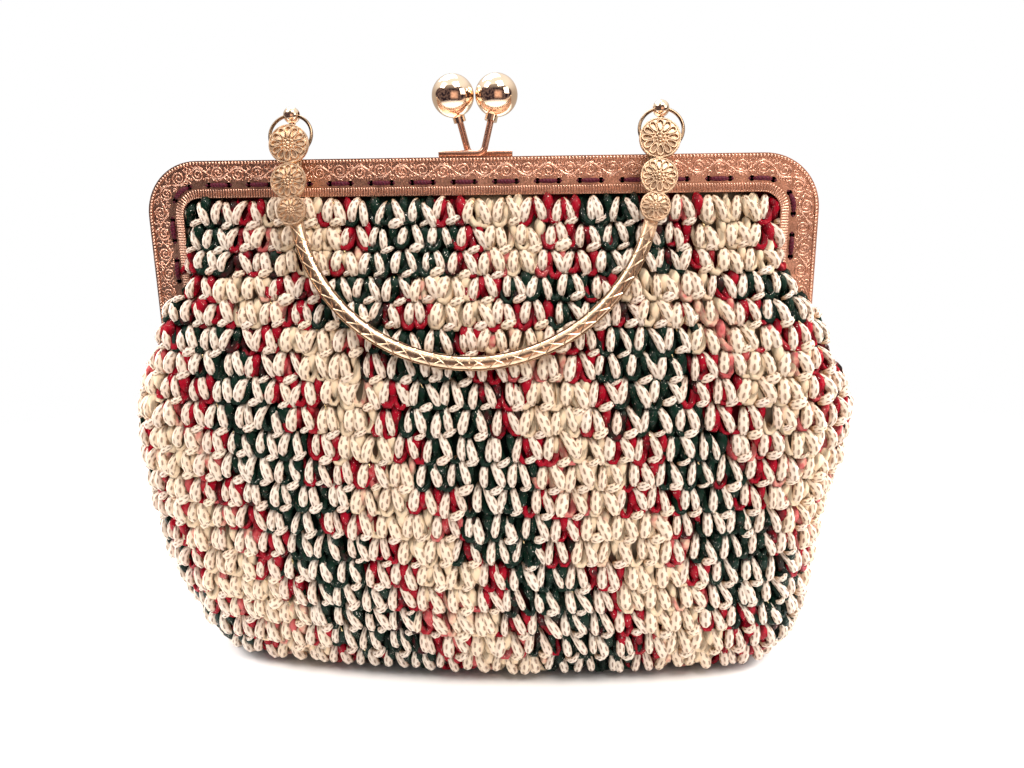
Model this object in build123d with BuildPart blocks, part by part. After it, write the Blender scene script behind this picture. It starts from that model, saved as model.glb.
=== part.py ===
from build123d import *
from math import asin, cos, pi, radians, sin
import os

os.makedirs("parts", exist_ok=True)

# Frame: a pair of stamped U-shaped halves, closed face to face
FRAME_WIDTH = 205.0
FRAME_TOP = 162.0
FRAME_HALF_DEPTH = 6.0
FRAME_CORNER_RADIUS = 16.7
BAR_HEIGHT = 11.2
ARM_END_WIDTH = 8.4
SHEET = 0.8
HALVES_GAP = 0.15
ARM_STRAIGHT = 21.5
HINGE_DROP = 52.0
EAR_RADIUS = 4.7
EAR_CLEARANCE = 0.15
EDGE_BEAD_WIDTH = 1.1
EDGE_BEAD_RISE = 0.35
REED_WIDTH = 2.7
REED_RISE = 0.45
LIP_DEPTH = 1.4
FLANGE_ABOVE_EAR = 1.5
STRAP_RISE = 7.0
STRAP_GAP = 0.5
JOGGLE_GAP = 0.6

# Sewing holes and thread
HOLE_PITCH = 6.35
HOLE_DIAMETER = 1.7
HOLE_TO_REED = 1.2
THREAD_DIAMETER = 1.1
THREAD_CLEARANCE = 0.1

# Hinge rivets
RIVET_DIAMETER = 2.6
RIVET_CLEARANCE = 0.1
RIVET_HEAD_DIAMETER = 4.4
RIVET_HEAD_HEIGHT = 0.8
RIVET_HEAD_TAPER = 0.6

# Kiss lock
BALL_DIAMETER = 12.8
BALL_SPACING = 13.2
BALL_HEIGHT = 18.0
ROD_DIAMETER = 2.0
ROD_RUN_END = 11.0
ROD_BEND_X = 2.6
ROD_BEND_RADIUS = 2.2
COLLAR_DIAMETER = 3.8
COLLAR_LENGTH = 2.2
COLLAR_IN_BALL = 0.7
ROD_IN_BALL = 3.0

# Lugs and rings that carry the handle
LUG_BEYOND_BOW = 1.9
LUG_FORWARD = 3.9
LUG_HEIGHT = 13.0
LUG_BALL_DIAMETER = 5.0
LUG_POST_DIAMETER = 2.1
LUG_POST_IN_BALL = 0.3
LUG_FOOT_DIAMETER = 4.2
LUG_FOOT_HEIGHT = 0.7
RING_RADIUS = 6.4
RING_WIRE = 1.0
RING_CLEARANCE = 0.15
RING_TILT = 22.0

# Handle
HANDLE_TILT = 18.8
BOW_RADIUS = 53.6
BOW_CENTRE_DROP = 9.5
BOW_WIDTH = 4.3
BOW_THICKNESS = 3.6
BOW_OFFSET = 1.0
BOW_OVERRUN = 8.0
EYE_WIRE = 1.1
EYE_CLEARANCE = 0.25
EYE_STEM_WIDTH = 2.4
EYE_STEM_SUNK = 0.4
FLOWER_BACK = 2.4
FLOWER_THICKNESS = 1.2
PETALS = 12
PETAL_RISE = 0.5

# Flowers at each end of the handle: offset outwards from the bow's end, height, radius
FLOWERS = ((1.15, 2.3, 6.0), (0.85, -8.9, 5.4), (-0.3, -17.8, 4.4))

# Points of one petal, as turn in degrees and share of the flower's radius
PETAL_EDGE = ((-15.0, 0.94), (-8.5, 0.985), (0.0, 1.0), (8.5, 0.985))
PETAL_RIB = ((0.0, 0.36), (7.5, 0.55), (7.0, 0.82), (0.0, 0.93), (-7.0, 0.82), (-7.5, 0.55))
FLOWER_EYE = 0.27

# Pouch
WALL_SIDE = 5.0
WALL_FRONT = 4.0
ROW_HEIGHT = 7.9
ROW_RELIEF = 2.2
END_ROUNDING = 0.74
ARM_SIDE_GAP = 2.8
ARM_FRONT_GAP = 0.8
ARM_CLEAR_BELOW = 9.0
ARM_WALL = 6.5
RIM_THICKNESS = 1.5
RIM_INSET = 4.5
RIM_BELOW_BAR = 8.0
RIM_END_ABOVE_HINGE = 10.0
MOUTH_ABOVE_HINGE = 2.0

# Outside of the pouch above its base: height, width beyond the frame each side, half depth
LOWER_SECTIONS = (
    (0.0, -18.5, 23.0),
    (5.0, -7.5, 29.0),
    (12.0, -1.5, 32.5),
    (24.0, 2.5, 34.5),
    (40.0, 6.0, 35.0),
    (58.0, 8.5, 34.5),
)

# Outside of the pouch below the frame: drop from its top, width beyond it, half depth
UPPER_SECTIONS = (
    (88.0, 10.5, 33.0),
    (76.0, 9.5, 31.0),
    (68.0, 6.5, 29.0),
    (60.0, 4.5, 27.0),
    (52.0, 2.0, 24.5),
    (44.0, -1.5, 21.3),
    (38.0, -5.5, 18.8),
    (33.0, -13.5, 16.5),
    (26.0, -14.9, 13.0),
    (19.0, -15.5, 10.0),
    (12.0, -16.5, 7.4),
)

half_width = FRAME_WIDTH / 2
hinge_z = FRAME_TOP - HINGE_DROP
corner_x = half_width - FRAME_CORNER_RADIUS
corner_z = FRAME_TOP - FRAME_CORNER_RADIUS
plate_inner = FRAME_HALF_DEPTH - SHEET
flange_y = (FRAME_HALF_DEPTH + HALVES_GAP) / 2
ear_outer_x = half_width - SHEET
ear_inner_x = ear_outer_x - EAR_CLEARANCE - SHEET
back_flange_low = hinge_z + EAR_RADIUS + FLANGE_ABOVE_EAR
hole_inset = BAR_HEIGHT - REED_WIDTH - HOLE_TO_REED
hole_radius = FRAME_CORNER_RADIUS - hole_inset
hole_arc = hole_radius * pi / 2
hole_run = corner_x + hole_arc + ARM_STRAIGHT - HOLE_DIAMETER / 2
holes_each_side = int(hole_run / HOLE_PITCH)


def u_edge(inset, low_inset, low_z):
    """Corner points of the frame's outline, moved in by the inset."""
    radius = FRAME_CORNER_RADIUS - inset
    side = half_width - inset
    return {
        "low": (half_width - low_inset, low_z),
        "knee": (side, corner_z - ARM_STRAIGHT),
        "shoulder": (side, corner_z),
        "mid": (corner_x + radius * cos(pi / 4), corner_z + radius * sin(pi / 4)),
        "top": (corner_x, corner_z + radius),
    }


def u_band(outer, inner, outer_low, inner_low, low_z):
    """Face of a band that follows the frame, between two insets."""
    out = u_edge(outer, outer_low, low_z)
    inn = u_edge(inner, inner_low, low_z)
    with BuildLine() as outline:
        for side in (1, -1):
            for edge in (out, inn):
                low = (side * edge["low"][0], edge["low"][1])
                knee = (side * edge["knee"][0], edge["knee"][1])
                shoulder = (side * edge["shoulder"][0], edge["shoulder"][1])
                mid = (side * edge["mid"][0], edge["mid"][1])
                top = (side * edge["top"][0], edge["top"][1])
                Line(low, knee)
                Line(knee, shoulder)
                ThreePointArc(shoulder, mid, top)
            Line((side * out["low"][0], low_z), (side * inn["low"][0], low_z))
        Line((-out["top"][0], out["top"][1]), out["top"])
        Line((-inn["top"][0], inn["top"][1]), inn["top"])
    make_face(outline.line)


def hole_place(index):
    """Place of a sewing hole along the frame, counted from the middle of the top."""
    run = abs(index) * HOLE_PITCH
    side = 1 if index >= 0 else -1
    if run <= corner_x:
        return (side * run, FRAME_TOP - hole_inset)
    if run <= corner_x + hole_arc:
        turn = (run - corner_x) / hole_radius
        across = corner_x + hole_radius * sin(turn)
        return (side * across, corner_z + hole_radius * cos(turn))
    return (side * (corner_x + hole_radius), corner_z - (run - corner_x - hole_arc))


holes = [hole_place(index) for index in range(-holes_each_side, holes_each_side + 1)]


def raise_band(face, amount, *band):
    """Band along the frame, raised from the plane y = -face by the amount."""
    with BuildSketch(Plane.XZ.offset(face)) as sketch:
        u_band(*band)
    extrude(sketch.sketch, amount=amount)


def frame_half(side, low_z, flange_low):
    """Plate, flange, edge bead, reeded rim, lip and holes; side is 1 for the front."""
    face = side * FRAME_HALF_DEPTH
    bar = BAR_HEIGHT
    end = ARM_END_WIDTH
    bead = EDGE_BEAD_WIDTH
    raise_band(face, -side * SHEET, 0, bar, 0, end, low_z)
    raise_band(face, -side * (FRAME_HALF_DEPTH - HALVES_GAP), 0, SHEET, 0, SHEET, flange_low)
    raise_band(face, side * EDGE_BEAD_RISE, 0, bead, 0, bead, low_z)
    raise_band(face, side * REED_RISE, bar - REED_WIDTH, bar, end - REED_WIDTH, end, low_z)
    raise_band(face, -side * LIP_DEPTH, bar - SHEET, bar, end - SHEET, end, low_z)
    with BuildSketch(Plane.XZ.offset(face)) as sketch:
        with Locations(*holes):
            Circle(HOLE_DIAMETER / 2)
    extrude(sketch.sketch, amount=-side * SHEET, mode=Mode.SUBTRACT)


# Front half of the frame, with the outer hinge ears
with BuildPart() as front_frame:
    frame_half(1, hinge_z, hinge_z)
    for plane in (Plane.YZ.offset(ear_outer_x), Plane.YZ.offset(-half_width)):
        with BuildSketch(plane):
            with Locations((0, hinge_z)):
                Circle(EAR_RADIUS)
        extrude(amount=SHEET)
        with BuildSketch(plane):
            with Locations((0, hinge_z)):
                Circle(RIVET_DIAMETER / 2)
        extrude(amount=SHEET, mode=Mode.SUBTRACT)
front_frame.part.label = "front_frame"
export_step(front_frame.part, "parts/front_frame.step")

# Back half, whose ears are stepped in so that they turn inside the front ones
with BuildPart() as back_frame:
    frame_half(-1, back_flange_low, back_flange_low)
    strap_top = back_flange_low + STRAP_RISE
    strap_near = HALVES_GAP + STRAP_GAP
    strap_mid = (strap_near + FRAME_HALF_DEPTH) / 2
    strap_width = FRAME_HALF_DEPTH - strap_near
    joggle_low = back_flange_low + JOGGLE_GAP
    for side in (1, -1):
        plane = Plane.YZ.offset(ear_inner_x if side > 0 else -ear_inner_x - SHEET)
        with BuildSketch(plane):
            with Locations((0, hinge_z)):
                Circle(EAR_RADIUS)
            with Locations((strap_mid, (hinge_z + strap_top) / 2)):
                Rectangle(strap_width, strap_top - hinge_z)
        extrude(amount=SHEET)
        joggle = Plane.YZ.offset(side * (ear_inner_x + SHEET))
        with BuildSketch(joggle):
            with Locations((strap_mid, (joggle_low + strap_top) / 2)):
                Rectangle(strap_width, strap_top - joggle_low)
        extrude(amount=side * EAR_CLEARANCE)
        with BuildSketch(plane):
            with Locations((0, hinge_z)):
                Circle(RIVET_DIAMETER / 2 + RIVET_CLEARANCE)
        extrude(amount=SHEET, mode=Mode.SUBTRACT)
back_frame.part.label = "back_frame"
export_step(back_frame.part, "parts/back_frame.step")


def rivet(side):
    """Hinge pin along X with a low domed head at each end."""
    inner_end = ear_inner_x - RIVET_CLEARANCE
    outer_end = half_width
    middle = side * (inner_end + outer_end) / 2
    turned = (0, 90, 0)
    with Locations((middle, 0, hinge_z)):
        Cylinder(RIVET_DIAMETER / 2, outer_end - inner_end, rotation=turned)
    for end, way in ((outer_end, 1), (inner_end, -1)):
        with Locations((side * (end + way * RIVET_HEAD_HEIGHT / 2), 0, hinge_z)):
            lean = 90 * side * way
            Cone(
                RIVET_HEAD_DIAMETER / 2,
                RIVET_HEAD_DIAMETER / 2 - RIVET_HEAD_TAPER,
                RIVET_HEAD_HEIGHT,
                rotation=(0, lean, 0),
            )


with BuildPart() as left_rivet:
    rivet(-1)
left_rivet.part.label = "left_rivet"
export_step(left_rivet.part, "parts/left_rivet.step")

with BuildPart() as right_rivet:
    rivet(1)
right_rivet.part.label = "right_rivet"
export_step(right_rivet.part, "parts/right_rivet.step")


# Kiss lock: each rod lies along the top of its half, bends up and carries a ball
rod_y = flange_y
rod_z = FRAME_TOP + ROD_DIAMETER / 2
ball_z = FRAME_TOP + BALL_HEIGHT
ball_x = BALL_SPACING / 2


def clasp_points(side):
    """Centre line of a rod; side is 1 for the front half."""
    start = Vector(-side * ROD_RUN_END, -side * rod_y, rod_z)
    bend = Vector(side * ROD_BEND_X, -side * rod_y, rod_z)
    centre = Vector(side * ball_x, 0, ball_z)
    return start, bend, centre


def clasp_rod(side):
    """Round rod that ends inside the ball's bore."""
    start, bend, centre = clasp_points(side)
    rise = (centre - bend).normalized()
    tip = centre - rise * (BALL_DIAMETER / 2 - ROD_IN_BALL)
    with BuildLine() as path:
        FilletPolyline(start, bend, tip, radius=ROD_BEND_RADIUS)
    with BuildSketch(Plane(origin=start, z_dir=(side, 0, 0))) as section:
        Circle(ROD_DIAMETER / 2)
    sweep(section.sketch, path=path.line)


def clasp_ball(side):
    """Ball with a short collar and a bore for its rod."""
    start, bend, centre = clasp_points(side)
    rise = (centre - bend).normalized()
    with Locations(centre):
        Sphere(BALL_DIAMETER / 2)
    neck = centre - rise * (BALL_DIAMETER / 2 + COLLAR_LENGTH - COLLAR_IN_BALL)
    with BuildSketch(Plane(origin=neck, z_dir=rise)) as collar:
        Circle(COLLAR_DIAMETER / 2)
    extrude(collar.sketch, amount=COLLAR_LENGTH)
    with BuildSketch(Plane(origin=neck, z_dir=rise)) as bore:
        Circle(ROD_DIAMETER / 2)
    bore_depth = COLLAR_LENGTH - COLLAR_IN_BALL + ROD_IN_BALL
    extrude(bore.sketch, amount=bore_depth, mode=Mode.SUBTRACT)


with BuildPart() as front_clasp_rod:
    clasp_rod(1)
front_clasp_rod.part.label = "front_clasp_rod"
export_step(front_clasp_rod.part, "parts/front_clasp_rod.step")

with BuildPart() as back_clasp_rod:
    clasp_rod(-1)
back_clasp_rod.part.label = "back_clasp_rod"
export_step(back_clasp_rod.part, "parts/back_clasp_rod.step")

with BuildPart() as front_clasp_ball:
    clasp_ball(1)
front_clasp_ball.part.label = "front_clasp_ball"
export_step(front_clasp_ball.part, "parts/front_clasp_ball.step")

with BuildPart() as back_clasp_ball:
    clasp_ball(-1)
back_clasp_ball.part.label = "back_clasp_ball"
export_step(back_clasp_ball.part, "parts/back_clasp_ball.step")


# Lugs: a post with a ball drilled from side to side, flared for the ring
lug_x = BOW_RADIUS + LUG_BEYOND_BOW
lug_z = FRAME_TOP + LUG_HEIGHT
bore_mid = RING_WIRE / 2 + RING_CLEARANCE
bore_end = bore_mid + LUG_BALL_DIAMETER**2 / 8 / RING_RADIUS


def lug(side):
    """Drilled ball, post and foot."""
    with Locations((side * lug_x, -LUG_FORWARD, lug_z)):
        Sphere(LUG_BALL_DIAMETER / 2)
    with BuildSketch(Plane.XY.offset(FRAME_TOP)) as post:
        with Locations((side * lug_x, -LUG_FORWARD)):
            Circle(LUG_POST_DIAMETER / 2)
    extrude(post.sketch, amount=LUG_HEIGHT - LUG_BALL_DIAMETER / 2 + LUG_POST_IN_BALL)
    with BuildSketch(Plane.XY.offset(FRAME_TOP)) as foot:
        with Locations((side * lug_x, -LUG_FORWARD)):
            Circle(LUG_FOOT_DIAMETER / 2)
    extrude(foot.sketch, amount=LUG_FOOT_HEIGHT)
    half = LUG_BALL_DIAMETER / 2
    for way in (1, -1):
        with Locations((side * lug_x + way * half / 2, -LUG_FORWARD, lug_z)):
            Cone(bore_mid, bore_end, half, rotation=(0, 90 * way, 0), mode=Mode.SUBTRACT)


with BuildPart() as left_lug:
    lug(-1)
left_lug.part.label = "left_lug"
export_step(left_lug.part, "parts/left_lug.step")

with BuildPart() as right_lug:
    lug(1)
right_lug.part.label = "right_lug"
export_step(right_lug.part, "parts/right_lug.step")


# Rings: hung through the lugs and leaning forward over the frame's edge
ring_down = Vector(0, -sin(radians(RING_TILT)), -cos(radians(RING_TILT)))
ring_front = Vector(0, -cos(radians(RING_TILT)), sin(radians(RING_TILT)))


def ring(side):
    """Closed round ring with its top wire through the lug's bore."""
    centre = Vector(side * lug_x, -LUG_FORWARD, lug_z) + ring_down * RING_RADIUS
    with BuildSketch(Plane(origin=centre, x_dir=(1, 0, 0), z_dir=ring_down)) as section:
        with Locations((RING_RADIUS, 0)):
            Circle(RING_WIRE / 2)
    revolve(section.sketch, axis=Axis(centre, ring_front))


with BuildPart() as left_ring:
    ring(-1)
left_ring.part.label = "left_ring"
export_step(left_ring.part, "parts/left_ring.step")

with BuildPart() as right_ring:
    ring(1)
right_ring.part.label = "right_ring"
export_step(right_ring.part, "parts/right_ring.step")


# Handle: its own plane hangs from the bottom of the rings, X across and Y up
pivot = Vector(0, -LUG_FORWARD, lug_z) + ring_down * (2 * RING_RADIUS)
handle_front = Vector(0, -cos(radians(HANDLE_TILT)), sin(radians(HANDLE_TILT)))
handle_plane = Plane(origin=pivot, x_dir=(1, 0, 0), z_dir=handle_front)
eye_inner = RING_WIRE / 2 + EYE_CLEARANCE


def flower_points(radius, points, first=0, count=PETALS):
    """Points of some petals round a flower's centre."""
    placed = []
    for petal in range(first, first + count):
        for lean, share in points:
            turn = radians(petal * 360 / PETALS + lean)
            placed.append((radius * share * cos(turn), radius * share * sin(turn)))
    return placed


def flower(side, beyond, up, radius):
    """Cut-out disc of petals with a raised rib on each and a round centre."""
    spot = (side * (BOW_RADIUS + beyond), up)
    with BuildSketch(handle_plane.offset(FLOWER_BACK)) as disc:
        with Locations(spot):
            Polygon(*flower_points(radius, PETAL_EDGE), align=None)
    extrude(disc.sketch, amount=FLOWER_THICKNESS)
    with BuildSketch(handle_plane.offset(FLOWER_BACK + FLOWER_THICKNESS)) as relief:
        with Locations(spot):
            for petal in range(PETALS):
                Polygon(*flower_points(radius, PETAL_RIB, petal, 1), align=None)
            Circle(radius * FLOWER_EYE)
    extrude(relief.sketch, amount=PETAL_RISE)


def eye(side):
    """Small eye behind a top flower, which the ring passes through."""
    low = Plane(origin=(side * lug_x - EYE_WIRE / 2, 0, 0), x_dir=(0, 1, 0), z_dir=(1, 0, 0))
    with BuildSketch(Plane(handle_plane.location * low.location)) as section:
        Circle(eye_inner + EYE_WIRE)
        stem = FLOWER_BACK + EYE_STEM_SUNK
        Rectangle(EYE_STEM_WIDTH, stem, align=(Align.CENTER, Align.MIN))
        Circle(eye_inner, mode=Mode.SUBTRACT)
    extrude(section.sketch, amount=EYE_WIRE)


def bow():
    """Half ring of oval section, whose ends run on behind the flowers."""
    start = radians(180 - BOW_OVERRUN)
    across = Vector(cos(start), sin(start), 0)
    centre = Vector(0, -BOW_CENTRE_DROP, BOW_OFFSET)
    end = Plane(origin=centre + across * BOW_RADIUS, x_dir=across, z_dir=(-across.Y, across.X, 0))
    with BuildSketch(Plane(handle_plane.location * end.location)) as section:
        Ellipse(BOW_WIDTH / 2, BOW_THICKNESS / 2)
    axis = Axis(handle_plane.from_local_coords(centre), handle_front)
    revolve(section.sketch, axis=axis, revolution_arc=180 + 2 * BOW_OVERRUN)


with BuildPart() as handle:
    bow()
    for side in (1, -1):
        eye(side)
        for beyond, up, radius in FLOWERS:
            flower(side, beyond, up, radius)
handle.part.label = "handle"
export_step(handle.part, "parts/handle.step")


def thread(side):
    """One thread that runs in and out of the holes; side is 1 for the front half."""
    outside = -side * (FRAME_HALF_DEPTH + THREAD_DIAMETER / 2 + THREAD_CLEARANCE)
    inside = -side * (plate_inner - THREAD_DIAMETER / 2 - THREAD_CLEARANCE)
    points = []
    for index in range(len(holes) - 1):
        x, z = holes[index]
        ends = (inside, outside) if index % 2 == 0 else (outside, inside)
        points.append((x, ends[0], z))
        points.append((x, ends[1], z))
    with BuildLine() as path:
        Polyline(*points)
    with BuildSketch(Plane(origin=points[0], z_dir=(0, -side, 0))) as section:
        RegularPolygon(THREAD_DIAMETER / 2, 6)
    sweep(section.sketch, path=path.line, transition=Transition.RIGHT)


with BuildPart() as front_stitching:
    thread(1)
front_stitching.part.label = "front_stitching"
export_step(front_stitching.part, "parts/front_stitching.step")

with BuildPart() as back_stitching:
    thread(-1)
back_stitching.part.label = "back_stitching"
export_step(back_stitching.part, "parts/back_stitching.step")


sections = [(height, half_width + beyond, depth) for height, beyond, depth in LOWER_SECTIONS]
for drop, beyond, depth in UPPER_SECTIONS:
    sections.append((FRAME_TOP - drop, half_width + beyond, depth))
pouch_top = sections[-1][0]
widest = max(section[1] for section in sections)
deepest = max(section[2] for section in sections)
rows = round(pouch_top / ROW_HEIGHT)
arm_clear_x = half_width - BAR_HEIGHT - ARM_SIDE_GAP
arm_clear_y = FRAME_HALF_DEPTH + ARM_FRONT_GAP
arm_clear_z = hinge_z - ARM_CLEAR_BELOW
rim_outer = plate_inner - THREAD_DIAMETER - 2 * THREAD_CLEARANCE
rim_inner = rim_outer - RIM_THICKNESS


def pouch_size(height):
    """Half width and half depth of the pouch's outside at a height."""
    for low, high in zip(sections, sections[1:]):
        if height <= high[0]:
            share = (height - low[0]) / (high[0] - low[0])
            return tuple(low[i] + (high[i] - low[i]) * share for i in (1, 2))
    return sections[-1][1:]


def pouch_outline(a, b):
    """Closed outline of four arcs that meet smoothly: full at the middle, round at the ends."""
    end = END_ROUNDING * b
    front = ((a - end) ** 2 + b**2 - end**2) / (2 * (b - end))
    lean = asin((a - end) / (front - end))
    x = front * sin(lean)
    y = front * cos(lean) - (front - b)
    with BuildLine() as outline:
        ThreePointArc((-x, y), (0, b), (x, y))
        ThreePointArc((x, y), (a, 0), (x, -y))
        ThreePointArc((x, -y), (0, -b), (-x, -y))
        ThreePointArc((-x, -y), (-a, 0), (-x, y))
    make_face(outline.line)


# Pouch: rows of crochet stand out as ridges, and its rim lies inside the frame's channel
with BuildPart() as pouch:
    for index in range(2 * rows + 1):
        height = pouch_top * index / (2 * rows)
        a, b = pouch_size(height)
        sunk = ROW_RELIEF if index % 2 == 0 and index > 0 else 0
        with BuildSketch(Plane.XY.offset(height)):
            pouch_outline(a - sunk, b - sunk)
    loft(ruled=True)
    for height, a, b in sections[1:]:
        inner_a = a - ROW_RELIEF - WALL_SIDE
        if height > arm_clear_z - 2 * WALL_SIDE:
            inner_a = min(inner_a, arm_clear_x - ARM_WALL)
        with BuildSketch(Plane.XY.offset(height)):
            pouch_outline(inner_a, max(b - ROW_RELIEF - WALL_FRONT, rim_inner))
    loft(ruled=True, mode=Mode.SUBTRACT)
    clear_width = widest - arm_clear_x
    clear_height = FRAME_TOP - arm_clear_z
    clear_y = deepest - arm_clear_y
    for side in (1, -1):
        spot = (side * (arm_clear_x + clear_width / 2), clear_y, arm_clear_z + clear_height / 2)
        with Locations(spot):
            Box(clear_width, 2 * deepest, clear_height, mode=Mode.SUBTRACT)
    for plane in (Plane.XZ.offset(rim_inner), Plane.XZ.offset(-rim_outer)):
        rim_low = BAR_HEIGHT + RIM_BELOW_BAR
        with BuildSketch(plane):
            u_band(RIM_INSET, rim_low, RIM_INSET, rim_low, hinge_z + RIM_END_ABOVE_HINGE)
        extrude(amount=RIM_THICKNESS)
    mouth_low = hinge_z + MOUTH_ABOVE_HINGE
    with Locations((0, 0, (mouth_low + FRAME_TOP) / 2)):
        Box(FRAME_WIDTH, 2 * rim_inner, FRAME_TOP - mouth_low, mode=Mode.SUBTRACT)
pouch.part.label = "pouch"
export_step(pouch.part, "parts/pouch.step")
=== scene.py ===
import math

import bpy
import numpy as np
from mathutils import Matrix, Vector


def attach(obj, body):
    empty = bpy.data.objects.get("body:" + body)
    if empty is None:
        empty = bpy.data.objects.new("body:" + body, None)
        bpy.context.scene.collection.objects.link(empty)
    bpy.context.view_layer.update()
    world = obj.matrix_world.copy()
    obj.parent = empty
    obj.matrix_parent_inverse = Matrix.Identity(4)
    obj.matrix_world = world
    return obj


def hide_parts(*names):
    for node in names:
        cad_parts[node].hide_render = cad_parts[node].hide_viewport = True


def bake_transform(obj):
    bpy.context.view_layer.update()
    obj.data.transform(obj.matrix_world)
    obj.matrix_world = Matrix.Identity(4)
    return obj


bl_info = {
    "name": "Crochet frame handbag",
    "version": (1, 0, 0),
    "blender": (4, 5, 0),
    "location": "View3D > Sidebar > Handbag",
    "description": "Crochet, relief, finishes and studio for a handbag on a kiss-lock frame",
    "category": "Object",
}

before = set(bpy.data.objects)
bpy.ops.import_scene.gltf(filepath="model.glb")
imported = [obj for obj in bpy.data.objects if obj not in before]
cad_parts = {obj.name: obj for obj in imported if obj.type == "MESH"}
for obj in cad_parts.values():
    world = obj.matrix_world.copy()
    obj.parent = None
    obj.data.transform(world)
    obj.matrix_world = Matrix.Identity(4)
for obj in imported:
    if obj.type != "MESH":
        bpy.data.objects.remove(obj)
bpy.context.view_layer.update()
MM = 0.001
SIDE = {False: "front", True: "back"}

# Frame, as on the solids
FRAME_HALF = 102.5 * MM
FRAME_TOP = 162.0 * MM
FRAME_FACE = 6.0 * MM
SHEET = 0.8 * MM
CORNER = 16.7 * MM
CORNER_X = FRAME_HALF - CORNER
CORNER_Z = FRAME_TOP - CORNER
BAR = 11.2 * MM
BAR_END = 8.4 * MM
KNEE_Z = CORNER_Z - 21.5 * MM
HINGE_Z = 110.0 * MM
HOLE_INSET = 7.3 * MM
HOLE_PITCH = 6.35 * MM
HOLES_EACH_SIDE = 19

# Ornament of the frame: the vine's band, the reeding inside it and the beads at the edge
BAND_MIDDLE = 3.85 * MM
BAND_EDGES = (1.35 * MM, 6.35 * MM)
VINE_SWING = 1.6 * MM
VINE_LENGTH = 12.7 * MM
VINE_RADII = {"stem": 0.27, "spiral": 0.25, "curl": 0.21, "leaf": 0.19, "dot": 0.27}
REED_MIDDLE = 9.85 * MM
REED_PITCH = 0.80 * MM
REED_INSETS = (8.6, 8.9, 10.8, 11.1)
REED_RADII = (0.20, 0.29, 0.29, 0.20)
BEAD_INSET = 0.72 * MM
BEAD_PITCH = 1.02 * MM
BEAD_RADII = (0.22, 0.37, 0.37, 0.22)

# Height at which the ornament of an arm ends, above the ear of its half
TRIM_END = {False: 111.5 * MM, True: 117.4 * MM}

# One sewing stitch: share of the way between two holes, millimetres out, and radii
STITCH_RUN = (0.11, 0.12, 0.17, 0.32, 0.50, 0.68, 0.83, 0.88, 0.89)
STITCH_LIFT = (-0.9, -0.15, 0.34, 0.50, 0.54, 0.50, 0.34, -0.15, -0.9)
STITCH_RADII = (0.38, 0.46, 0.60, 0.68, 0.70, 0.68, 0.60, 0.46, 0.38)

# Lugs, rings and handle, as on the solids
LUG_X = 55.5 * MM
LUG_Y = -3.9 * MM
LUG_Z = FRAME_TOP + 13.0 * MM
RING_RADIUS = 6.4 * MM
RING_TILT = math.radians(22.0)
HANDLE_TILT = math.radians(18.8)
PIVOT_Y = LUG_Y - 2 * RING_RADIUS * math.sin(RING_TILT)
PIVOT_Z = LUG_Z - 2 * RING_RADIUS * math.cos(RING_TILT)
BOW_RADIUS = 53.6 * MM
BOW_DROP = 9.5 * MM
BOW_OFFSET = 1.0 * MM
BOW_THICK = 1.8 * MM
BOW_START = math.radians(172)
BOW_END = math.radians(368)
BOW_POINTS = 90
BOW_PANEL = 5.5 * MM
FLOWER_BACK = 2.4 * MM
FLOWER_FRONT = 3.75 * MM
PETALS = 12
CENTRE_DOTS = 8
EYE_RADIUS = 1.3 * MM
EYE_WIRE = 0.55 * MM

# Flowers at each end: beyond the bow's end, up, radius, in millimetres
FLOWERS = ((1.15, 2.3, 6.0), (0.85, -8.9, 5.4), (-0.3, -17.8, 4.4))

# Camera of the photograph: place, then yaw, pitch and roll in degrees
CAMERA_PLACE = (0.0286, -0.2689, 0.1579)
CAMERA_TURN = (3.94, 14.11, -0.81)
CAMERA_SENSOR = 36.0
CAMERA_LENS = CAMERA_SENSOR * 850.0 / 1024.0

# Outside of the pouch: height, half width and half depth in millimetres
POUCH = np.array((
    (0.0, 84.0, 23.0), (5.0, 95.0, 29.0), (12.0, 101.0, 32.5), (24.0, 105.0, 34.5),
    (40.0, 108.5, 35.0), (58.0, 111.0, 34.5), (74.0, 113.0, 33.0), (86.0, 112.0, 31.0),
    (94.0, 109.0, 29.0), (102.0, 107.0, 27.0), (110.0, 104.5, 24.5), (118.0, 101.0, 21.3),
    (124.0, 97.0, 18.8), (129.0, 93.0, 16.5), (136.0, 93.2, 13.0), (143.0, 93.2, 10.5),
    (150.0, 93.0, 8.4), (156.0, 92.0, 5.0),
))

# The crochet's inner skin and rows, in millimetres
SKIN_DEPTH = 2.4
LEAST_DEPTH = 1.5
END_ROUNDING = 0.74
TOP_ROW_Z = 149.8
CHANNEL_TOP_Z = 156.8
FLOOR_GAP = 1.6
BASE_PITCH = 7.0

# The inner wall: rows above the first row and in the base, columns, thickness
WALL_ABOVE = 0.75
WALL_BELOW = 3
WALL_COLUMNS = 96
WALL_THICKNESS = 1.4 * MM

# Where the crochet makes way for the frame's arms, in millimetres
ARM_CLEAR_Z = 101.0
ARM_KNEE_Z = 126.0
ARM_INNER_X = 88.0
ARM_DEPTH = 7.0
FRAME_INNER_X = 90.5

# The right side slumps further out and the base stands a little to the right, in millimetres
SLUMP = 6.0
SLUMP_Z = 92.0
SLUMP_SPREAD = 20.0
LEAN = 3.3
LEAN_TOP = 36.0
LEAN_RUN = 18.0

# Unevenness of the stitches: aside in shares of a stitch, outwards in millimetres
WOBBLE = 0.11
PUFF = 0.22

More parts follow.
